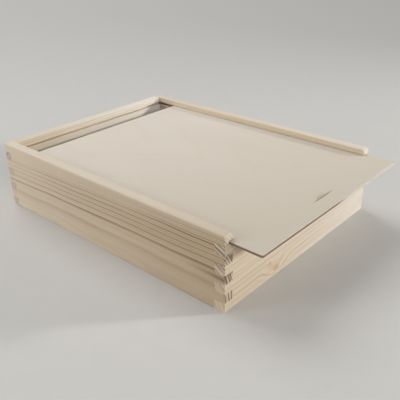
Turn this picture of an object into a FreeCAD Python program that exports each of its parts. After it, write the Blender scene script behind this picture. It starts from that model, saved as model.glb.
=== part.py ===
"""Box for papers with a sliding lid.

Four pine boards are joined at the corners by box joints. A plywood base lies in a rebate
round the underside, where brads hold it. A plywood lid slides in a channel near the top
of the side boards and comes out over the front end, which is one row of fingers lower.

Millimetres. +X is the way the lid slides open and +Z is up. The origin is the centre of
the underside. Left is -Y and right is +Y, for someone who faces the box and pulls its lid.
"""
import os

import FreeCAD, Part

# Carcass
length = 325.0              # outside, back to front
width = 250.0               # outside, left to right
height = 76.0               # outside, to the top of the side boards
board = 11.0                # thickness of the four boards
finger_rows = 8             # rows of fingers in the height, the top one on the side boards
nose_radius = 4.0           # rounded top front corner of each side board
outer_arris = 1.2           # sanded radius of the upright and upper outside edges
lower_arris = 0.6           # sanded radius round the underside
inner_arris = 0.8           # sanded radius round the mouth and along the front end's top

# Lid
lid_thickness = 3.0
lid_channel_depth = 5.5     # how far its channel goes into the boards
lid_headroom = 0.5          # play above it in the channel
lid_side_play = 0.5         # play at each of its sides
lid_back_play = 0.5         # play behind it when it is shut
lid_drawn_out = 33.0        # how far it stands open at rest
lid_corner_radius = 1.5
lid_arris = 0.4             # sanded radius of its edges
notch_width = 27.0          # thumb notch, along its straight wall
notch_reach = 7.5           # thumb notch, from that wall back to where it runs out
notch_depth = 1.8           # thumb notch, at the middle of that wall
notch_setback = 16.0        # from the lid's front edge back to that wall

# Base
base_thickness = 3.0
base_ledge = 5.5            # width of the rebate that the base lies in
base_corner_radius = 6.0    # corner of the rebate, left by the cutter
base_play = 0.3             # play round the edge of the base
brads_along_side = 5
brads_along_end = 4
brad_diameter = 1.2
brad_length = 15.0
brad_head_diameter = 2.4
brad_head_thickness = 0.5
brad_corner_distance = 22.0  # from the inside corner to the first brad of each row

# Places worked out from the sizes above
past = 10.0                 # how far a cutter runs past the wood
same = 1e-4                 # two places closer than this are one place
row = height / finger_rows
front_top = height - row    # top of the front end, and floor of the lid's channel
lid_top = front_top + lid_thickness
x_out = length / 2
y_out = width / 2
x_in = x_out - board
y_in = y_out - board
x_rebate = x_in + base_ledge
y_rebate = y_in + base_ledge


def near(a, b):
    return abs(a - b) < same


def block(x0, x1, y0, y1, z0, z1):
    """A rectangular solid between two corners."""
    return Part.makeBox(x1 - x0, y1 - y0, z1 - z0, FreeCAD.Vector(x0, y0, z0))


def rounded_slab(x_edge, y_edge, z0, z1, radius):
    """A slab about the Z axis whose four upright edges are rounded."""
    slab = block(-x_edge, x_edge, -y_edge, y_edge, z0, z1)
    return slab.makeFillet(radius, edges_where(slab, lambda box: not near(box.ZLength, 0)))


def edges_where(shape, test):
    """The edges whose bounding box passes the test."""
    return [edge for edge in shape.Edges if test(edge.BoundBox)]


def outer_form():
    """The outside of the carcass as one block, with both noses and all its sanded edges."""
    nose_x = x_out - nose_radius
    nose_z = height - nose_radius
    half_way = nose_radius / 2 ** 0.5
    top_back = FreeCAD.Vector(-x_out, -y_out, height)
    nose_start = FreeCAD.Vector(nose_x, -y_out, height)
    nose_middle = FreeCAD.Vector(nose_x + half_way, -y_out, nose_z + half_way)
    nose_end = FreeCAD.Vector(x_out, -y_out, nose_z)
    foot_front = FreeCAD.Vector(x_out, -y_out, 0)
    foot_back = FreeCAD.Vector(-x_out, -y_out, 0)
    outline = Part.Wire([
        Part.makeLine(foot_back, top_back),
        Part.makeLine(top_back, nose_start),
        Part.Arc(nose_start, nose_middle, nose_end).toShape(),
        Part.makeLine(nose_end, foot_front),
        Part.makeLine(foot_front, foot_back),
    ])
    form = Part.Face(outline).extrude(FreeCAD.Vector(0, width, 0))
    upper = edges_where(form, lambda box: box.ZMax > same and near(box.YLength, 0))
    upper += edges_where(form, lambda box: near(box.ZMin, height) and near(box.XMax, -x_out))
    form = form.makeFillet(outer_arris, upper)
    lower = edges_where(form, lambda box: near(box.ZMax, 0))
    return form.makeFillet(lower_arris, lower)


def ease_mouth(form):
    """Sands the edges round the mouth, and the outer edge along the front end's top."""
    back_rim = edges_where(form, lambda box: near(box.ZMin, height) and near(box.XMin, -x_in)
                           and near(box.XMax, -x_in))
    side_rims = edges_where(form, lambda box: near(box.ZMin, height) and near(box.YLength, 0)
                            and near(abs(box.YMin), y_in))
    sill = edges_where(form, lambda box: near(box.ZMin, front_top) and near(box.ZMax, front_top)
                       and near(box.XMin, x_out))
    form = form.makeFillet(inner_arris, back_rim + side_rims)
    return form.makeFillet(inner_arris, [edge for edge in sill if edge.Length > width / 2])


def carcass_form():
    """The four boards as one hollow solid, with the lid's channel and the base's rebate."""
    form = outer_form()
    form = form.cut(block(-x_in, x_in, -y_in, y_in, -past, height + past))
    form = form.cut(block(x_in - past, x_out + past, -y_in, y_in, front_top, height + past))
    form = ease_mouth(form)
    y_channel = y_in + lid_channel_depth
    form = form.cut(block(-x_in - lid_channel_depth, x_out + past, -y_channel, y_channel,
                          front_top, lid_top + lid_headroom))
    form = form.cut(rounded_slab(x_rebate, y_rebate, -past, base_thickness, base_corner_radius))
    return form.cut(base_brads())


def finger_span(index):
    """Bottom and top of one row of fingers, counted from the top, open at the box's ends."""
    bottom = height - (index + 1) * row
    top = bottom + row
    return (-past if index == finger_rows - 1 else bottom,
            height + past if index == 0 else top)


def side_board(carcass, y0, y1):
    """A long board: its fingers are the top row and every second row below it."""
    region = block(-x_in, x_in, y0, y1, -past, height + past)
    for index in range(0, finger_rows, 2):
        bottom, top = finger_span(index)
        region = region.fuse(block(-x_out - past, x_out + past, y0, y1, bottom, top))
    return carcass.common(region)


def end_board(carcass, x0, x1):
    """A short board: its fingers fill the rows that the long boards leave."""
    region = block(x0, x1, -y_in, y_in, -past, height + past)
    for index in range(1, finger_rows, 2):
        bottom, top = finger_span(index)
        region = region.fuse(block(x0, x1, -y_out - past, y_out + past, bottom, top))
    return carcass.common(region)


def base_panel():
    panel = rounded_slab(x_rebate - base_play, y_rebate - base_play, 0, base_thickness,
                         base_corner_radius - base_play)
    return panel.cut(base_brads())


def brad(x, y):
    """A flat-headed brad driven upwards, its head flush with the underside."""
    place = FreeCAD.Vector(x, y, 0)
    head = Part.makeCylinder(brad_head_diameter / 2, brad_head_thickness, place)
    shank = Part.makeCylinder(brad_diameter / 2, brad_length, place)
    return head.fuse(shank).removeSplitter()


def evenly(reach, count):
    """Places from -reach to reach, the same distance apart."""
    return [reach * (2 * index / (count - 1) - 1) for index in range(count)]


def base_brads():
    """Every brad, in rows along the middle of the ledge that the base lies on."""
    x_row = x_in + base_ledge / 2
    y_row = y_in + base_ledge / 2
    along_sides = [(x, y) for y in (-y_row, y_row)
                   for x in evenly(x_in - brad_corner_distance, brads_along_side)]
    along_ends = [(x, y) for x in (-x_row, x_row)
                  for y in evenly(y_in - brad_corner_distance, brads_along_end)]
    return Part.makeCompound([brad(x, y) for x, y in along_sides + along_ends])


def thumb_notch(x_wall):
    """A scoop with a straight front wall, as the rim of a slightly tapered disc leaves it."""
    disc_radius = (notch_width ** 2 / 4 + notch_depth ** 2) / (2 * notch_depth)
    disc_thickness = notch_reach * 1.5
    taper = notch_depth / notch_reach * disc_thickness
    centre = FreeCAD.Vector(x_wall, 0, lid_top - notch_depth + disc_radius)
    backwards = FreeCAD.Vector(-1, 0, 0)
    return Part.makeCone(disc_radius, disc_radius - taper, disc_thickness, centre, backwards)


def sliding_lid():
    x_back = -x_in - lid_channel_depth + lid_back_play + lid_drawn_out
    x_front = x_out + lid_drawn_out
    y_edge = y_in + lid_channel_depth - lid_side_play
    lid = block(x_back, x_front, -y_edge, y_edge, front_top, lid_top)
    corners = edges_where(lid, lambda box: not near(box.ZLength, 0))
    lid = lid.makeFillet(lid_corner_radius, corners)
    lid = lid.makeFillet(lid_arris, edges_where(lid, lambda box: near(box.ZLength, 0)))
    return lid.cut(thumb_notch(x_front - notch_setback))


def main():
    os.makedirs("parts", exist_ok=True)
    carcass = carcass_form()
    pieces = {
        "left_side": side_board(carcass, -y_out - past, -y_in),
        "right_side": side_board(carcass, y_in, y_out + past),
        "back_end": end_board(carcass, -x_out - past, -x_in),
        "front_end": end_board(carcass, x_in, x_out + past),
        "base_panel": base_panel(),
        "base_brads": base_brads(),
        "sliding_lid": sliding_lid(),
    }
    for name, shape in pieces.items():
        solids = shape.Solids
        piece = solids[0] if len(solids) == 1 else Part.makeCompound(solids)
        piece.exportStep(f"parts/{name}.step")
        print(name, len(solids), "solids", round(piece.Volume / 1000, 2), "cm3", piece.isValid())


main()
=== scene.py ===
import math

import bmesh
import bpy
from mathutils import Matrix, Vector


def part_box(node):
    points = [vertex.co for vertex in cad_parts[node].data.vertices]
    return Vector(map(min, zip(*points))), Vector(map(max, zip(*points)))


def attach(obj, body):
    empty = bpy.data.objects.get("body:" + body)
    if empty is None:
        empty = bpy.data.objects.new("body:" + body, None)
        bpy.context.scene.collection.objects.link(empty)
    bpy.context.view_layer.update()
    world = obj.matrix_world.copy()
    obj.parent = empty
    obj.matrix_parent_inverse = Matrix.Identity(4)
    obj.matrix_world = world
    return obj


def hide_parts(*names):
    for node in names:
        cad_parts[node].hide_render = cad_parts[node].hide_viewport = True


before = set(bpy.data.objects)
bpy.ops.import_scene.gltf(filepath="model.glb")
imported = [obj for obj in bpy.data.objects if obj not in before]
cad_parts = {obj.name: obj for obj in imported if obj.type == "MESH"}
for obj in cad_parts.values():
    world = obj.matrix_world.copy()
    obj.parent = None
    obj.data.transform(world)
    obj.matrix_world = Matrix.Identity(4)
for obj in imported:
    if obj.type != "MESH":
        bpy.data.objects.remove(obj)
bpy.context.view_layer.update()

mm = 0.001
hair = 0.01 * mm        # two places closer than this are one place
past = 10 * mm          # how far a cutter runs past the wood
bentEdge = 0.5          # radians between two faces from which their edge may be rounded
sharpEdge = 0.9         # radians between two faces from which their edge is sharp
facing = 0.9            # least share of a face's normal along the axis that it faces
crease = 30             # degrees between two faces from which their edge stays visible

# what the solids say
sideLow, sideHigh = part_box("left_side")
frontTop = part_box("front_end")[1].z
baseLow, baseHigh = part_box("base_panel")
lidLow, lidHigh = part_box("sliding_lid")
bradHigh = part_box("base_brads")[1]
outerX = sideHigh.x
outerY = -sideLow.y
topZ = sideHigh.z
board = sideHigh.y - sideLow.y
innerX = outerX - board
innerY = outerY - board
rowHeight = topZ - frontTop
rowCount = round(topZ / rowHeight)


# modelling helpers

def inMm(*values):
    return tuple(value * mm for value in values)


def near(a, b):
    return abs(a - b) < hair


def selectOnly(piece):
    bpy.ops.object.select_all(action="DESELECT")
    piece.select_set(True)
    bpy.context.view_layer.objects.active = piece


def settle(name):
    # names the new primitive and puts its place, turn and size into its mesh
    piece = bpy.context.object
    piece.name = piece.data.name = name
    bpy.ops.object.transform_apply(location=True, rotation=True, scale=True)
    return piece


def startBlock(name, low, high):
    low, high = Vector(low), Vector(high)
    bpy.ops.object.select_all(action="DESELECT")
    bpy.ops.mesh.primitive_cube_add(size=1, location=(low + high) / 2, scale=high - low)
    return settle(name)


def startCone(name, **shape):
    bpy.ops.object.select_all(action="DESELECT")
    bpy.ops.mesh.primitive_cone_add(**shape)
    return settle(name)


def editPiece(piece):
    selectOnly(piece)
    bpy.ops.object.mode_set(mode="EDIT")


def leaveEdit():
    bpy.ops.object.mode_set(mode="OBJECT")


def pick(piece, kind, test):
    # selects only the faces or edges that pass the test
    mesh = bmesh.from_edit_mesh(piece.data)
    bpy.ops.mesh.select_mode(type=kind)
    bpy.ops.mesh.select_all(action="DESELECT")
    items = mesh.faces if kind == "FACE" else mesh.edges
    found = [item for item in items if test(item)]
    for item in found:
        item.select_set(True)
    mesh.select_flush_mode()
    bmesh.update_edit_mesh(piece.data)
    return len(found)


def cutThrough(axis, place):
    # a cut square to the axis through all of the piece
    point, normal = Vector(), Vector()
    point[axis], normal[axis] = place, 1
    bpy.ops.mesh.select_all(action="SELECT")
    bpy.ops.mesh.bisect(plane_co=point, plane_no=normal)


def pushOut(axis, distance):
    push = Vector()
    push[axis] = distance
    bpy.ops.mesh.extrude_region_move(TRANSFORM_OT_translate={"value": push})


def roundEdges(piece, radius, segments, test):
    if pick(piece, "EDGE", test):
        bpy.ops.mesh.bevel(offset=radius, offset_type="OFFSET", segments=segments, profile=0.5,
                           affect="EDGES", clamp_overlap=False)


def isCorner(edge, angle):
    return len(edge.link_faces) == 2 and edge.calc_face_angle_signed(0) > angle


def isSharp(edge):
    return isCorner(edge, sharpEdge)


def allAt(edge, axis, place):
    return all(near(vert.co[axis], place) for vert in edge.verts)


def isUpright(edge):
    first, second = (vert.co for vert in edge.verts)
    return near(first.x, second.x) and near(first.y, second.y)


def carve(piece, cutter):
    # cuts the cutter's shape out of the piece and throws the cutter away
    selectOnly(piece)
    cut = piece.modifiers.new("cut", "BOOLEAN")
    cut.operation = "DIFFERENCE"
    cut.solver = "EXACT"
    cut.object = cutter
    bpy.ops.object.modifier_apply(modifier=cut.name)
    bpy.data.meshes.remove(cutter.data)
    # merges the specks of edges that a cut leaves
    editPiece(piece)
    bpy.ops.mesh.select_all(action="SELECT")
    bpy.ops.mesh.remove_doubles(threshold=hair)
    leaveEdit()


def finishPiece(piece, body, node, material):
    selectOnly(piece)
    bpy.ops.object.shade_smooth_by_angle(angle=math.radians(crease))
    weigh = piece.modifiers.new("weigh", "WEIGHTED_NORMAL")
    weigh.keep_sharp = True
    bpy.ops.object.modifier_apply(modifier=weigh.name)
    piece.data.materials.clear()
    piece.data.materials.append(material)
    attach(piece, body)
    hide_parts(node)
    print("made", piece.name, len(piece.data.polygons), "faces")


# material helpers

softNoise = (0.3, 0.7)      # what plain noise mostly stays between
fineNoise = (0.25, 0.75)    # and noise with more detail in it


def newMaterial(name):
    material = bpy.data.materials.new(name)
    material.use_nodes = True
    tree = material.node_tree
    tree.nodes.clear()
    output = tree.nodes.new("ShaderNodeOutputMaterial")
    shader = tree.nodes.new("ShaderNodeBsdfPrincipled")
    tree.links.new(shader.outputs["BSDF"], output.inputs["Surface"])
    return material, tree, shader


def feed(tree, socket, value):
    if isinstance(value, bpy.types.NodeSocket):
        tree.links.new(value, socket)
    else:
        socket.default_value = value


def addNode(tree, kind, feeds, **settings):
    node = tree.nodes.new("ShaderNode" + kind)
    for key, value in settings.items():
        setattr(node, key, value)
    for key, value in feeds.items():
        feed(tree, node.inputs[key], value)
    return node


def coordinates(tree, kind="Object"):
    return addNode(tree, "TexCoord", {}).outputs[kind]


def parts(tree, place):
    return addNode(tree, "SeparateXYZ", {"Vector": place}).outputs


def calc(tree, operation, *values):
    return addNode(tree, "Math", dict(enumerate(values)), operation=operation).outputs[0]


def vector(tree, operation, *values):
    node = addNode(tree, "VectorMath", dict(enumerate(values)), operation=operation)
    return node.outputs["Value" if operation in ("LENGTH", "DOT_PRODUCT") else "Vector"]


def noise(tree, place, scale, detail=2.0, roughness=0.5, output="Fac"):
    # scale is in cycles per metre along each axis
    stretched = vector(tree, "MULTIPLY", place, scale)
    return addNode(tree, "TexNoise", {"Vector": stretched, "Scale": 1.0, "Detail": detail,
                                      "Roughness": roughness}).outputs[output]


def lineNoise(tree, place, scale):
    # noise along one line, with scale cycles in each unit of the place
    return addNode(tree, "TexNoise", {"W": calc(tree, "MULTIPLY", place, scale), "Scale": 1.0, "Detail": 1.0},
                   noise_dimensions="1D").outputs["Fac"]


def ramp(tree, factor, stops, kind="LINEAR"):
    node = addNode(tree, "ValToRGB", {"Fac": factor})
    node.color_ramp.interpolation = kind
    elements = node.color_ramp.elements
    while len(elements) < len(stops):
        elements.new(0.5)
    for element, (position, tone) in zip(elements, stops):
        element.position = position
        element.color = tone if isinstance(tone, tuple) else (tone, tone, tone, 1)
    return node.outputs["Color"]


def blend(tree, factor, first, second):
    node = addNode(tree, "Mix", {}, data_type="RGBA")
    # a Mix node's factor, and its two colours
    for index, value in ((0, factor), (6, first), (7, second)):
        feed(tree, node.inputs[index], value)
    return node.outputs[2]


def remap(tree, value, source, target=(0.0, 1.0), smooth=False):
    return addNode(tree, "MapRange", {"Value": value, "From Min": source[0], "From Max": source[1],
                                      "To Min": target[0], "To Max": target[1]},
                   interpolation_type="SMOOTHSTEP" if smooth else "LINEAR").outputs["Result"]


def dim(tree, tone, factor):
    # the same colour, lighter or darker
    return addNode(tree, "VectorMath", {0: tone, "Scale": factor}, operation="SCALE").outputs["Vector"]


def spot(tree, place, centre, size, turn=0.0):
    # 1 at the centre of an egg-shaped patch, fading to 0 at its skin
    turned = addNode(tree, "VectorRotate", {"Vector": place, "Center": centre, "Axis": (0, 1, 0),
                                            "Angle": math.radians(turn)}).outputs["Vector"]
    offset = vector(tree, "DIVIDE", vector(tree, "SUBTRACT", turned, centre), size)
    return remap(tree, vector(tree, "LENGTH", offset), (0.0, 1.0), (1.0, 0.0), smooth=True)


# a patch of colour, used both for real marks on the wood and for painted light and shade
def markAndPaintedLight(centre, size, strength, tone, turn=0.0):
    return {"centre": centre, "size": size, "strength": strength, "tone": tone, "turn": turn}


def withMarksAndPaintedLight(tree, place, wood, look):
    for mark in look.get("marksAndPaintedLight", []):
        patch = spot(tree, place, mark["centre"], mark["size"], mark["turn"])
        wood = blend(tree, calc(tree, "MULTIPLY", patch, mark["strength"]), wood, mark["tone"])
    return wood


def roughen(tree, shader, height, look):
    bump = addNode(tree, "Bump", {"Height": height, "Strength": look["bump"], "Distance": look["bumpDepth"]})
    tree.links.new(bump.outputs["Normal"], shader.inputs["Normal"])


def colour(red, green, blue):
    # a screen colour from 0 to 255, as the linear value that a shader takes
    def linear(value):
        share = value / 255
        return share / 12.92 if share < 0.04045 else ((share + 0.055) / 1.055) ** 2.4
    return (linear(red), linear(green), linear(blue), 1.0)


# pine

# Every board is sawn from a trunk of its own. Its pattern is in the board's own axes: length,
# thickness, height. The heart of the trunk is a line along the board, in thickness and height.
# It drifts along the board, and each year's growth is a shell round it.

pine = {
    # how fine the patterns are, in cycles per metre of length, thickness and height
    "swayScale": (3.0, 12.0, 12.0), "rippleScale": (14.0, 50.0, 50.0), "patchScale": (7.0, 60.0, 60.0),
    "fibreScale": (80.0, 1400.0, 1400.0), "cloudScale": (7.0, 24.0, 24.0),
    # and of the fine lines within a year, in cycles per metre from the heart
    "weekScale": 1500.0,
    # darkness through one year, from its start to its end
    "year": [(0.0, 0.4), (0.15, 0.05), (0.4, 0.15), (0.75, 0.95), (0.88, 0.95), (1.0, 0.4)],
    # how far an even year may be off its place, in years, and how fast that changes
    "wander": 1.6, "wanderScale": 0.45,
    # late wood times the patches and plus the weeks, and colour times the fibres and the clouds
    "patches": (0.5, 1.2), "weeks": (-0.05, 0.07), "fibres": (0.95, 1.045), "clouds": (0.965, 1.03),
    # how far a face turns to the board's end until it is all end grain, and where years show on it
    "endTurn": (0.35, 0.75), "endYears": (0.08, 0.42),
    # roughness of early and late wood, and what end grain adds
    "roughness": (0.76, 0.62), "endRoughness": 0.15, "specular": 0.3,
    "lateRelief": 0.5, "fibreRelief": 0.35, "bump": 0.35, "bumpDepth": 0.15 * mm,
}


def boardPlace(tree, along):
    place = coordinates(tree)
    if along == 0:
        return place
    split = parts(tree, place)
    return addNode(tree, "CombineXYZ", {"X": split["Y"], "Y": split["X"], "Z": split["Z"]}).outputs["Vector"]


def fromHeart(tree, look, place):
    seeded = vector(tree, "ADD", place, look["seed"])
    swayed = place
    for scale, reach in ((pine["swayScale"], look["sway"]), (pine["rippleScale"], look["ripple"])):
        drawn = noise(tree, seeded, scale, detail=1.0, output="Color")
        evened = vector(tree, "SUBTRACT", drawn, (0.5, 0.5, 0.5))
        swayed = vector(tree, "ADD", swayed, vector(tree, "MULTIPLY", evened, (0.0, reach, reach)))
    split = parts(tree, swayed)
    away = []
    for axis, heart, drift in zip("YZ", look["heart"], look["drift"]):
        straight = calc(tree, "MULTIPLY_ADD", split["X"], -drift, split[axis])
        away.append(calc(tree, "SUBTRACT", straight, heart))
    radius = calc(tree, "SQRT", calc(tree, "MULTIPLY_ADD", away[0], away[0],
                                     calc(tree, "MULTIPLY", away[1], away[1])))
    for knot in look.get("knots", []):
        pushed = spot(tree, place, knot["centre"], knot["flow"])
        radius = calc(tree, "MULTIPLY_ADD", pushed, knot["push"], radius)
    return radius


def yearProfile(tree, rings):
    return ramp(tree, calc(tree, "FRACT", rings), pine["year"])


def listedYears(tree, radius, years):
    # each year is where it ends, in mm from the heart, and how dark its late wood is
    start, end = years[0][0] * mm, years[-1][0] * mm
    count = len(years) - 1
    share = remap(tree, radius, (start, end))
    places = [(place * mm - start) / (end - start) for place, darkness in years]
    ends = [(place, index / count) for index, place in enumerate(places)]
    tones = [(place, darkness) for place, (_, darkness) in zip(places, years[1:])]
    late = yearProfile(tree, calc(tree, "MULTIPLY", ramp(tree, share, ends), float(count)))
    return calc(tree, "MULTIPLY", late, ramp(tree, share, tones, kind="CONSTANT"))


def evenYears(tree, radius, look):
    rings = calc(tree, "DIVIDE", radius, look["yearWidth"])
    rings = calc(tree, "MULTIPLY_ADD", lineNoise(tree, rings, pine["wanderScale"]), pine["wander"], rings)
    year = addNode(tree, "TexWhiteNoise", {"W": calc(tree, "FLOOR", rings)}, noise_dimensions="1D")
    darkness = remap(tree, year.outputs["Value"], (0.0, 1.0), (look["faintest"], 1.0))
    return calc(tree, "MULTIPLY", yearProfile(tree, rings), darkness)


def lateWood(tree, look, place):
    # 0 in the pale spring wood, 1 in the darkest summer wood
    radius = fromHeart(tree, look, place)
    late = listedYears(tree, radius, look["years"]) if "years" in look else evenYears(tree, radius, look)
    fade = remap(tree, parts(tree, place)["X"], (-outerX, outerX), look["fade"])
    patches = remap(tree, noise(tree, place, pine["patchScale"], detail=1.0), softNoise, pine["patches"])
    weeks = remap(tree, lineNoise(tree, radius, pine["weekScale"]), softNoise, pine["weeks"])
    late = calc(tree, "MULTIPLY", calc(tree, "MULTIPLY", late, fade), patches)
    return calc(tree, "ADD", late, weeks)


def knotted(tree, place, wood, look):
    for knot in look.get("knots", []):
        inner = vector(tree, "DIVIDE", vector(tree, "SUBTRACT", place, knot["centre"]), knot["size"])
        reach = vector(tree, "LENGTH", inner)
        # each ring darkens up to its middle, half a ring from its edges
        rings = calc(tree, "PINGPONG", calc(tree, "MULTIPLY", reach, knot["rings"]), 0.5)
        rings = calc(tree, "MULTIPLY", rings, knot["ringContrast"])
        core = blend(tree, rings, knot["pale"], knot["dark"])
        wood = blend(tree, remap(tree, reach, knot["skin"], (knot["strength"], 0.0), smooth=True), wood, core)
    return wood


def pineMaterial(name, look):
    material, tree, shader = newMaterial(name)
    place = boardPlace(tree, look["along"])
    late = lateWood(tree, look, place)
    fibres = noise(tree, place, pine["fibreScale"], detail=3.0, roughness=0.6)
    clouds = noise(tree, place, pine["cloudScale"])
    turned = calc(tree, "ABSOLUTE", parts(tree, coordinates(tree, "Normal"))[look["along"]])
    endGrain = remap(tree, turned, pine["endTurn"], smooth=True)

    # along the board the early wood shifts to its far colour: partly the board's own tone, partly painted
    # light and shade falling off along it
    alongBoard = remap(tree, parts(tree, place)["X"], (-outerX, outerX))
    face = blend(tree, late, blend(tree, alongBoard, look["early"], look["earlyFarWithPaintedLight"]), look["late"])
    years = calc(tree, "MULTIPLY", remap(tree, late, pine["endYears"]), look["endContrast"])
    end = blend(tree, years, look["endEarly"], look["endLate"])
    wood = withMarksAndPaintedLight(tree, place, blend(tree, endGrain, face, end), look)
    wood = knotted(tree, place, wood, look)
    wood = dim(tree, wood, remap(tree, fibres, fineNoise, pine["fibres"]))
    wood = dim(tree, wood, remap(tree, clouds, softNoise, pine["clouds"]))
    tree.links.new(wood, shader.inputs["Base Color"])

    roughness = remap(tree, late, (0.0, 1.0), pine["roughness"])
    roughness = calc(tree, "MULTIPLY_ADD", endGrain, pine["endRoughness"], roughness)
    tree.links.new(roughness, shader.inputs["Roughness"])
    relief = calc(tree, "ADD", calc(tree, "MULTIPLY", late, pine["lateRelief"]),
                  calc(tree, "MULTIPLY", fibres, pine["fibreRelief"]))
    roughen(tree, shader, relief, pine)
    shader.inputs["Specular IOR Level"].default_value = pine["specular"]
    return material


# plywood

# Veneer is peeled round the log, so its years show as faint wide contours on the faces. The
# edges show the plies, and a saw may have scorched them up to a place along the sheet.

plywood = {
    # how fine the patterns are, in cycles per metre along each axis
    "figureScale": (4.0, 6.5, 0.0), "cloudScale": (7.0, 12.0, 0.0),
    "fibreScale": (60.0, 1200.0, 300.0), "fleckScale": (120.0, 900.0, 300.0),
    # darkness from one contour of the figure to the next
    "contour": [(0.0, 0.0), (0.6, 0.12), (0.9, 1.0), (1.0, 0.0)],
    # what an edge shows through the thickness, and how far below a face that look begins
    "plies": [(0.0, "skin"), (0.17, "skin"), (0.21, "glue"), (0.25, "core"),
              (0.75, "core"), (0.79, "glue"), (0.83, "skin"), (1.0, "skin")],
    "skinDepth": inMm(0.1, 0.3),
    # scorching: inwards from the edge, where it fades out, forwards from the back, and below the top
    "scorchInset": inMm(0.2, 1.2), "scorchFade": 26 * mm,
    "scorchBack": inMm(1, 5), "scorchTop": inMm(0.5, 1.1),
    # how far the shifted tone and painted shade have come across the sheet, and how strong a fleck of noise
    # is
    "toneAndShadeShift": (-0.09, 0.21), "flecks": (0.66, 0.8), "fleckStrength": 0.5,
    "fibres": (0.97, 1.025), "fibreSpread": (0.2, 0.8), "roughness": (0.8, 0.7), "specular": 0.3,
    "fibreRelief": 0.5, "fleckRelief": -0.4, "bump": 0.25, "bumpDepth": 0.08 * mm,
}


def plies(tree, look, depth, thickness):
    share = calc(tree, "DIVIDE", depth, thickness)
    return ramp(tree, share, [(place, look[layer]) for place, layer in plywood["plies"]])


def scorch(tree, look, low, high, split, depth):
    # 1 along the sawn edge, up to the place where the scorching ends
    fromMiddleX = calc(tree, "ABSOLUTE", calc(tree, "SUBTRACT", split["X"], (low.x + high.x) / 2))
    insetX = calc(tree, "SUBTRACT", (high.x - low.x) / 2, fromMiddleX)
    insetY = calc(tree, "SUBTRACT", high.y, calc(tree, "ABSOLUTE", split["Y"]))
    rim = remap(tree, calc(tree, "MINIMUM", insetX, insetY), plywood["scorchInset"], (1.0, 0.0))
    fadeOut = (look["scorchEnd"], look["scorchEnd"] + plywood["scorchFade"])
    along = remap(tree, split["Y"], fadeOut, (1.0, 0.0), smooth=True)
    notBack = remap(tree, split["X"], [low.x + reach for reach in plywood["scorchBack"]])
    below = remap(tree, depth, plywood["scorchTop"])
    return calc(tree, "MULTIPLY", calc(tree, "MULTIPLY", rim, along), calc(tree, "MULTIPLY", notBack, below))


def plywoodMaterial(name, look, low, high):
    material, tree, shader = newMaterial(name)
    place = coordinates(tree)
    moved = vector(tree, "ADD", place, look["seed"])
    split = parts(tree, place)

    field = noise(tree, moved, plywood["figureScale"], detail=1.0, roughness=0.4)
    contours = calc(tree, "FRACT", calc(tree, "MULTIPLY", field, look["contours"]))
    figure = calc(tree, "MULTIPLY", ramp(tree, contours, plywood["contour"]), look["figure"])
    fibres = noise(tree, moved, plywood["fibreScale"], detail=3.0, roughness=0.6)
    clouds = noise(tree, moved, plywood["cloudScale"])
    flecks = noise(tree, moved, plywood["fleckScale"], detail=1.0)
    # tone that shifts across the sheet; on the lid it is partly painted shade, darker towards the front near
    # corner where the light falls off
    toneAndShadeShift = remap(tree, vector(tree, "DOT_PRODUCT", place, look["toneAndShadeFrom"]), plywood["toneAndShadeShift"])

    veneer = blend(tree, remap(tree, clouds, softNoise), look["pale"], look["cloud"])
    veneer = blend(tree, toneAndShadeShift, veneer, look["toneAndShadeShift"])
    veneer = blend(tree, figure, veneer, look["dark"])
    dots = remap(tree, flecks, plywood["flecks"], (0.0, plywood["fleckStrength"]))
    veneer = blend(tree, dots, veneer, look["dark"])

    thickness = high.z - low.z
    depth = calc(tree, "SUBTRACT", high.z, split["Z"])
    toSkin = calc(tree, "MINIMUM", depth, calc(tree, "SUBTRACT", thickness, depth))
    edge = plies(tree, look, depth, thickness)
    if "scorched" in look:
        edge = blend(tree, scorch(tree, look, low, high, split, depth), edge, look["scorched"])
    wood = blend(tree, remap(tree, toSkin, plywood["skinDepth"]), veneer, edge)
    wood = withMarksAndPaintedLight(tree, place, wood, look)
    wood = dim(tree, wood, remap(tree, fibres, fineNoise, plywood["fibres"]))
    tree.links.new(wood, shader.inputs["Base Color"])

    roughness = remap(tree, fibres, plywood["fibreSpread"], plywood["roughness"])
    tree.links.new(roughness, shader.inputs["Roughness"])
    relief = calc(tree, "ADD", calc(tree, "MULTIPLY", fibres, plywood["fibreRelief"]),
                  calc(tree, "MULTIPLY", flecks, plywood["fleckRelief"]))
    roughen(tree, shader, relief, plywood)
    shader.inputs["Specular IOR Level"].default_value = plywood["specular"]
    return material


# boards

boardEdges = {
    "arris": 1.2 * mm, "arrisSegments": 5,
    "nose": 4.0 * mm, "noseSegments": 9,
    "foot": 0.6 * mm, "rim": 0.8 * mm, "smallSegments": 3,
    "joint": 0.14 * mm, "jointSegments": 2,
}
channel = {"sidePlay": 0.5 * mm, "headroom": 0.5 * mm, "fingerCut": 1.0 * mm}
rebate = {"play": 0.3 * mm, "corner": 6.0 * mm, "cornerSegments": 10}
channelY = lidHigh.y + channel["sidePlay"]
channelTop = lidHigh.z + channel["headroom"]
channelBack = -innerX - (channelY - innerY)


def fingeredBlock(name, look):
    # the board's body, with a finger pushed out of both ends in every second row
    piece = startBlock(name, look["low"], look["high"])
    editPiece(piece)
    for row in range(1, rowCount):
        cutThrough(2, row * rowHeight)
    for end in (-1, 1):
        def isFinger(face):
            row = int((topZ - face.calc_center_median().z) / rowHeight)
            return face.normal[look["along"]] * end > facing and row % 2 == look["firstRow"]
        pick(piece, "FACE", isFinger)
        pushOut(look["along"], end * board)
    leaveEdit()
    return piece


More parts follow.
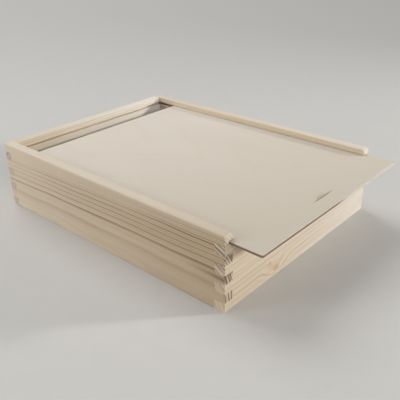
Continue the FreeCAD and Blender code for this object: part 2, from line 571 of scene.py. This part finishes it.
def roundOuterEdges(piece, look):
    along, outer, rim = look["along"], look["outer"], look["rim"]
    across = 1 - along
    reach = (outerX, outerY)[along]
    top = look["high"][2]
    edges = boardEdges

    def onSilhouette(vert):
        noseX, noseZ = outerX - edges["nose"], topZ - edges["nose"]
        onNose = along == 0 and vert.co.x > noseX - hair and vert.co.z > noseZ - hair
        return near(abs(vert.co[along]), reach) or near(vert.co.z, topZ) or onNose

    def isNose(edge):
        return allAt(edge, 0, outerX) and allAt(edge, 2, topZ)

    def isArris(edge):
        outside = allAt(edge, across, outer) and all(onSilhouette(vert) for vert in edge.verts)
        backTop = along == 0 and allAt(edge, 0, -outerX) and allAt(edge, 2, topZ)
        return isCorner(edge, bentEdge) and (outside or backTop)

    def isRim(edge):
        onRim = allAt(edge, 2, top) and allAt(edge, across, rim)
        return isCorner(edge, bentEdge) and onRim and all(vert.co.x > -innerX - hair for vert in edge.verts)

    def isFoot(edge):
        outside = all(abs(vert.co[across]) > abs(outer) - edges["arris"] - hair for vert in edge.verts)
        return isCorner(edge, bentEdge) and allAt(edge, 2, 0) and outside

    editPiece(piece)
    if along == 0:
        roundEdges(piece, edges["nose"], edges["noseSegments"], isNose)
    roundEdges(piece, edges["arris"], edges["arrisSegments"], isArris)
    roundEdges(piece, edges["rim"], edges["smallSegments"], isRim)
    roundEdges(piece, edges["foot"], edges["smallSegments"], isFoot)
    # the fine edge that sanding leaves wherever two faces still meet sharply
    roundEdges(piece, edges["joint"], edges["jointSegments"], isSharp)
    leaveEdit()


def channelCutter(along):
    low, high = (channelBack, -channelY, frontTop), (outerX + past, channelY, channelTop)
    cutter = startBlock("channelCutter", low, high)
    if along == 0:
        # a side board's top fingers end level with the channel's floor, so there the cutter goes lower
        editPiece(cutter)
        for place in (-innerX, innerX):
            cutThrough(0, place)
        pick(cutter, "FACE",
             lambda face: face.normal.z < -facing and abs(face.calc_center_median().x) > innerX)
        pushOut(2, -channel["fingerCut"])
        leaveEdit()
    return cutter


def rebateCutter():
    reachX, reachY = baseHigh.x + rebate["play"], baseHigh.y + rebate["play"]
    cutter = startBlock("rebateCutter", (-reachX, -reachY, -past), (reachX, reachY, baseHigh.z))
    editPiece(cutter)
    roundEdges(cutter, rebate["corner"], rebate["cornerSegments"], isUpright)
    leaveEdit()
    return cutter


def makeBoard(name, look):
    piece = fingeredBlock(name, look)
    roundOuterEdges(piece, look)
    if look["high"][2] > frontTop + hair:
        carve(piece, channelCutter(look["along"]))
    carve(piece, rebateCutter())
    finishPiece(piece, "carcass", look["node"], pineMaterial(name + "Wood", look))


# Low and high are the corners of a board without its fingers. Along is the axis of its length, 0
# for X and 1 for Y, and firstRow its topmost row with fingers. Outer and rim are the places across
# it of its outer face and of its eased upper edge. Heart, sway, ripple, yearWidth, centres and
# sizes are lengths, and drift is a slope. Fade is how strong the late wood is at the two ends.

leftSideBoard = {
    "node": "left_side", "low": (-innerX, -outerY, 0), "high": (innerX, -innerY, topZ),
    "along": 0, "firstRow": 0, "outer": -outerY, "rim": -innerY,
    "seed": (3.1, 0.7, 5.2), "heart": inMm(-203, 3), "drift": (0.0, 0.0225),
    "sway": 1.8 * mm, "ripple": 1.5 * mm, "fade": (0.65, 1.0),
    "years": [(77.0, 0.0), (81.2, 0.38), (83.0, 0.2), (85.7, 0.85), (87.0, 0.2), (88.6, 0.9), (89.9, 0.3),
              (91.6, 0.65), (92.8, 0.25), (94.4, 0.8), (95.6, 0.3), (97.4, 0.9), (98.8, 0.5), (100.0, 0.15),
              (101.9, 0.3), (103.6, 0.15), (105.0, 0.22), (106.6, 0.12), (108.3, 0.22), (112.0, 0.15)],
    # the far colour is darker: partly the board's tone, partly painted shade on the outer face towards the
    # front
    "early": colour(211, 196, 175), "earlyFarWithPaintedLight": colour(184, 165, 139), "late": colour(129, 104, 71),
    "endEarly": colour(206, 192, 169), "endLate": colour(78, 56, 36), "endContrast": 1.0,
    "marksAndPaintedLight": [
        # streaks on the outer face, towards the nose
        markAndPaintedLight(inMm(110, -126, 50), inMm(150, 14, 20), 0.2, colour(158, 134, 98)),
        markAndPaintedLight(inMm(172, -126, 33.5), inMm(62, 5, 4.2), 0.85, colour(104, 82, 72), turn=-1.5),
        markAndPaintedLight(inMm(150, -125, 28), inMm(52, 12, 9), 0.25, colour(160, 134, 108)),
        markAndPaintedLight(inMm(80, -124, 21), inMm(50, 12, 5), 0.2, colour(190, 160, 132)),
        # painted light: the top painted paler and greyer, for the sheen and cooler light that fall on it from
        # above
        markAndPaintedLight(inMm(0, -119, 79), inMm(500, 16, 8), 0.9, colour(209, 201, 185)),
        # dark marks on the front fingers' end grain
        markAndPaintedLight(inMm(163, -121.8, 14), inMm(4, 2.4, 16), 0.8, colour(168, 136, 116)),
        markAndPaintedLight(inMm(163, -115.6, 14), inMm(4, 1.2, 16), 0.9, colour(98, 74, 56)),
        markAndPaintedLight(inMm(163, -119.5, 37.2), inMm(4, 10, 2.8), 0.85, colour(132, 106, 84)),
        markAndPaintedLight(inMm(163, -117.6, 33), inMm(4, 1.5, 9), 0.9, colour(108, 82, 60)),
        markAndPaintedLight(inMm(163, -122.4, 31), inMm(4, 1.8, 6), 0.8, colour(120, 92, 68)),
        markAndPaintedLight(inMm(163, -115.6, 53.5), inMm(4, 2.0, 5), 0.9, colour(112, 90, 66)),
    ],
}
makeBoard("leftSideBoard", leftSideBoard)

rightSideBoard = {
    "node": "right_side", "low": (-innerX, innerY, 0), "high": (innerX, outerY, topZ),
    "along": 0, "firstRow": 0, "outer": outerY, "rim": innerY,
    "seed": (11.4, 2.3, 8.1), "heart": inMm(75, 118), "drift": (0.008, -0.012),
    "sway": 5 * mm, "ripple": 2 * mm, "fade": (0.7, 0.7), "yearWidth": 2.2 * mm, "faintest": 0.2,
    "early": colour(215, 200, 180), "earlyFarWithPaintedLight": colour(214, 204, 191), "late": colour(165, 139, 102),
    "endEarly": colour(216, 206, 190), "endLate": colour(180, 164, 140), "endContrast": 0.6,
    # painted shade: the rail's inner face, turned away from the key lamp, painted darker and warmer
    "marksAndPaintedLight": [markAndPaintedLight(inMm(60, 113, 72), inMm(260, 5, 12), 0.6, colour(204, 183, 143))],
}
makeBoard("rightSideBoard", rightSideBoard)

backEndBoard = {
    "node": "back_end", "low": (-outerX, -innerY, 0), "high": (-innerX, innerY, topZ),
    "along": 1, "firstRow": 1, "outer": -outerX, "rim": -innerX,
    "seed": (2.6, 9.8, 6.4), "heart": inMm(-110, -10), "drift": (0.0, 0.015),
    "sway": 5 * mm, "ripple": 2 * mm, "fade": (0.5, 0.3), "yearWidth": 2.6 * mm, "faintest": 0.3,
    # the far colour is nearly white: partly the board's tone, partly painted light, brighter towards the key
    # lamp's side
    "early": colour(197, 181, 151), "earlyFarWithPaintedLight": colour(252, 247, 238), "late": colour(175, 146, 106),
    "endEarly": colour(194, 180, 165), "endLate": colour(112, 98, 94), "endContrast": 0.9,
    "marksAndPaintedLight": [
        # painted light: the channel painted pale and warm, lifting the shade in it as bounced light would,
        # and the top painted paler and greyer for the sheen and cooler light from above
        markAndPaintedLight(inMm(0, -157, 68.2), inMm(500, 6.5, 3.5), 0.8, colour(238, 215, 182)),
        markAndPaintedLight(inMm(20, -158, 80), inMm(400, 20, 8), 1.0, colour(206, 196, 180)),
    ],
}
makeBoard("backEndBoard", backEndBoard)

frontEndBoard = {
    "node": "front_end", "low": (innerX, -innerY, 0), "high": (outerX, innerY, frontTop),
    "along": 1, "firstRow": 1, "outer": outerX, "rim": outerX,
    "seed": (7.7, 4.4, 1.9), "heart": inMm(120, -10), "drift": (0.0, 0.01),
    "sway": 3 * mm, "ripple": 1.2 * mm, "fade": (0.9, 0.15), "yearWidth": 3.7 * mm, "faintest": 0.45,
    # the far colour is paler: partly the board's tone, partly painted light, brighter towards the key lamp's
    # side
    "early": colour(202, 186, 162), "earlyFarWithPaintedLight": colour(218, 209, 197), "late": colour(186, 163, 130),
    "endEarly": colour(197, 180, 160), "endLate": colour(128, 109, 93), "endContrast": 0.9,
    "knots": [{"centre": inMm(-48, 162, 8), "size": inMm(5.5, 12, 3.4), "skin": (0.6, 1.2), "strength": 0.9,
               "flow": inMm(30, 30, 17), "push": 5 * mm, "rings": 1.5, "ringContrast": 1.4,
               "pale": colour(200, 168, 140), "dark": colour(172, 136, 108)}],
    "marksAndPaintedLight": [
        # round the knot
        markAndPaintedLight(inMm(-55, 162, 11), inMm(17, 14, 7), 0.6, colour(206, 176, 148), turn=25),
        markAndPaintedLight(inMm(-58.5, 162, 17.5), inMm(3.5, 9, 1.6), 0.8, colour(150, 122, 98), turn=20),
        markAndPaintedLight(inMm(-34, 162, 7), inMm(9, 9, 1.8), 0.6, colour(196, 166, 136)),
        # the left end
        markAndPaintedLight(inMm(-128, 157, 0), inMm(12, 24, 52), 0.95, colour(207, 190, 165)),
    ],
}
makeBoard("frontEndBoard", frontEndBoard)


# base and lid

def roundedSheet(name, low, high, look):
    piece = startBlock(name, low, high)
    editPiece(piece)
    roundEdges(piece, look["corner"], look["cornerSegments"], isUpright)
    roundEdges(piece, look["arris"], look["arrisSegments"], isSharp)
    leaveEdit()
    return piece


# each brad's head is sunk in a small dimple, which is crush wider at its mouth than the head
brads = {
    "alongSide": 5, "alongEnd": 4, "fromCorner": 22 * mm, "headRadius": 1.2 * mm,
    "sink": 0.5 * mm, "crush": 0.25 * mm, "sides": 20,
    "bright": colour(196, 196, 198), "dull": colour(140, 138, 136), "dulled": (0.35, 0.7),
    "drawnScale": (9000.0, 9000.0, 500.0), "dullScale": (900.0, 900.0, 900.0),
    "roughness": (0.28, 0.5), "bump": 0.3, "bumpDepth": 0.02 * mm,
}


def spread(reach, count):
    return [reach * (2 * index / (count - 1) - 1) for index in range(count)]


def bradPlaces():
    rowX = bradHigh.x - brads["headRadius"]
    rowY = bradHigh.y - brads["headRadius"]
    alongX = spread(innerX - brads["fromCorner"], brads["alongSide"])
    alongY = spread(innerY - brads["fromCorner"], brads["alongEnd"])
    return [(x, y) for y in (-rowY, rowY) for x in alongX] + [(x, y) for x in (-rowX, rowX) for y in alongY]


base = {
    "corner": 5.7 * mm, "cornerSegments": 10, "arris": 0.15 * mm, "arrisSegments": 2,
    "seed": (8.3, 2.6, 0.0), "contours": 7.0, "figure": 0.38,
    "pale": colour(215, 203, 184), "cloud": colour(207, 193, 169), "dark": colour(188, 167, 137),
    "toneAndShadeFrom": (0.3, 0.3, 0.0), "toneAndShadeShift": colour(205, 190, 164),
    "skin": colour(196, 175, 152), "glue": colour(104, 80, 60), "core": colour(170, 140, 108),
}


def makeBase():
    piece = roundedSheet("basePanel", baseLow, baseHigh, base)
    for x, y in bradPlaces():
        carve(piece, startCone(
            "dimple", vertices=brads["sides"], radius1=brads["headRadius"] + 2 * brads["crush"],
            radius2=brads["headRadius"], depth=2 * brads["sink"], location=(x, y, 0)))
    material = plywoodMaterial("basePlywood", base, baseLow, baseHigh)
    finishPiece(piece, "carcass", "base_panel", material)


def wireMaterial(name, look):
    material, tree, shader = newMaterial(name)
    place = coordinates(tree)
    drawn = noise(tree, place, look["drawnScale"])
    dull = remap(tree, noise(tree, place, look["dullScale"], detail=3.0), look["dulled"])
    tree.links.new(blend(tree, dull, look["bright"], look["dull"]), shader.inputs["Base Color"])
    tree.links.new(remap(tree, drawn, softNoise, look["roughness"]), shader.inputs["Roughness"])
    roughen(tree, shader, drawn, look)
    shader.inputs["Metallic"].default_value = 1.0
    return material


makeBase()
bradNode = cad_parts["base_brads"]
bradNode.data.materials.clear()
bradNode.data.materials.append(wireMaterial("bradWire", brads))
print("brads dressed")

# the thumb notch is cut by the rim of a disc whose thickness is notchDisc times the notch's reach
lid = {
    "corner": 1.5 * mm, "cornerSegments": 6, "arris": 0.35 * mm, "arrisSegments": 3,
    "notchWidth": 27 * mm, "notchReach": 7.5 * mm, "notchDepth": 1.8 * mm, "notchSetback": 16 * mm,
    "notchSides": 512, "notchDisc": 1.5,
    "seed": (1.3, 6.6, 0.0), "contours": 9.0, "figure": 0.15,
    "pale": colour(210, 200, 189), "cloud": colour(207, 197, 185), "dark": colour(198, 182, 156),
    # partly the sheet's tone, partly painted shade: darker towards the front near corner
    "toneAndShadeFrom": (1.0, -0.35, 0.0), "toneAndShadeShift": colour(192, 183, 168),
    "skin": colour(203, 196, 184), "glue": colour(180, 168, 152), "core": colour(197, 188, 174),
    "scorched": colour(124, 98, 80), "scorchEnd": -6 * mm,
    "marksAndPaintedLight": [
        # in the notch: the cut wood's browner tone with painted shade, and a painted shadow in the deepest
        # part of the floor along its wall
        markAndPaintedLight((lidHigh.x - 19 * mm, 0, lidHigh.z), inMm(5.5, 14.5, 4), 0.55, colour(164, 140, 106)),
        markAndPaintedLight((lidHigh.x - 16.9 * mm, 0, lidHigh.z), inMm(1.5, 24, 5), 0.9, colour(112, 88, 62)),
    ],
}


def notchCutter():
    depth = lid["notchDepth"]
    radius = (lid["notchWidth"] ** 2 / 4 + depth ** 2) / (2 * depth)
    thickness = lid["notchDisc"] * lid["notchReach"]
    taper = depth / lid["notchReach"] * thickness
    wallX = lidHigh.x - lid["notchSetback"]
    return startCone("notchCutter", vertices=lid["notchSides"], radius1=radius, radius2=radius - taper,
                     depth=thickness, location=(wallX - thickness / 2, 0, lidHigh.z - depth + radius),
                     rotation=(0, -math.pi / 2, 0))


def makeLid():
    piece = roundedSheet("slidingLid", lidLow, lidHigh, lid)
    carve(piece, notchCutter())
    material = plywoodMaterial("lidPlywood", lid, lidLow, lidHigh)
    finishPiece(piece, "lid", "sliding_lid", material)


makeLid()


# studio

studio = {
    "floorSize": 30.0, "floorColour": colour(194, 192, 188), "floorRoughness": 0.8,
    "floorGrain": (60.0, 60.0, 60.0), "floorTone": (0.99, 1.01),
    "airColour": (1.0, 1.0, 1.0, 1.0), "airStrength": 0.25, "horizonStrength": 0.47, "horizonHeight": 0.3,
    "lampAim": (0, 0, 0.05),
}
lamps = {
    "keyLamp": {"place": (1.5, 1.374, 0.694), "size": 0.22, "spread": 60, "energy": 2.86},
    "frontLamp": {"place": (5.6, -2.0, 2.7), "size": 2.4, "spread": 120, "energy": 53.0},
    "overheadLamp": {"place": (-4.0, 0.5, 5.0), "size": 5.0, "spread": 180, "energy": 245.0},
    "leftLamp": {"place": (-1.4, -2.0, 0.8), "size": 1.2, "spread": 80, "energy": 5.45},
}
view = {
    "place": inMm(401.6, -421.5, 303.2), "yaw": 131.785, "pitch": -26.984, "roll": -0.888,
    "lens": 50.05, "sensor": 36.0, "nearest": 0.01, "furthest": 20.0,
}


def makeFloor():
    bpy.ops.object.select_all(action="DESELECT")
    bpy.ops.mesh.primitive_plane_add(size=studio["floorSize"])
    floor = bpy.context.object
    floor.name = "studioFloor"
    material, tree, shader = newMaterial("floorPaint")
    grain = noise(tree, coordinates(tree), studio["floorGrain"], detail=3.0)
    tone = dim(tree, studio["floorColour"][:3], remap(tree, grain, softNoise, studio["floorTone"]))
    tree.links.new(tone, shader.inputs["Base Color"])
    shader.inputs["Roughness"].default_value = studio["floorRoughness"]
    floor.data.materials.append(material)


def makeLight(name, look):
    data = bpy.data.lights.new(name, "AREA")
    data.shape = "DISK"
    data.size = look["size"]
    data.spread = math.radians(look["spread"])
    data.energy = look["energy"]
    light = bpy.data.objects.new(name, data)
    bpy.context.scene.collection.objects.link(light)
    light.location = look["place"]
    away = Vector(look["place"]) - Vector(studio["lampAim"])
    light.rotation_euler = away.to_track_quat("Z", "Y").to_euler()


def makeWorld():
    world = bpy.data.worlds.new("studioAir")
    world.use_nodes = True
    tree = world.node_tree
    background = tree.nodes["Background"]
    background.inputs["Color"].default_value = studio["airColour"]
    # as pale as the floor at the horizon, and dimmer higher up
    rise = parts(tree, coordinates(tree, "Generated"))["Z"]
    strength = remap(tree, rise, (0.0, studio["horizonHeight"]),
                     (studio["horizonStrength"], studio["airStrength"]), smooth=True)
    tree.links.new(strength, background.inputs["Strength"])
    bpy.context.scene.world = world


def makeCamera():
    data = bpy.data.cameras.new("studioCamera")
    data.lens = view["lens"]
    data.sensor_width = view["sensor"]
    data.clip_start = view["nearest"]
    data.clip_end = view["furthest"]
    camera = bpy.data.objects.new("studioCamera", data)
    bpy.context.scene.collection.objects.link(camera)
    turn = (Matrix.Rotation(math.radians(view["yaw"] - 90), 4, "Z")
            @ Matrix.Rotation(math.radians(90 + view["pitch"]), 4, "X")
            @ Matrix.Rotation(math.radians(view["roll"]), 4, "Z"))
    camera.matrix_world = Matrix.Translation(view["place"]) @ turn
    bpy.context.scene.camera = camera


makeFloor()
for name, look in lamps.items():
    makeLight(name, look)
makeWorld()
makeCamera()
bpy.context.scene.view_settings.view_transform = "Standard"
print("studio ready")
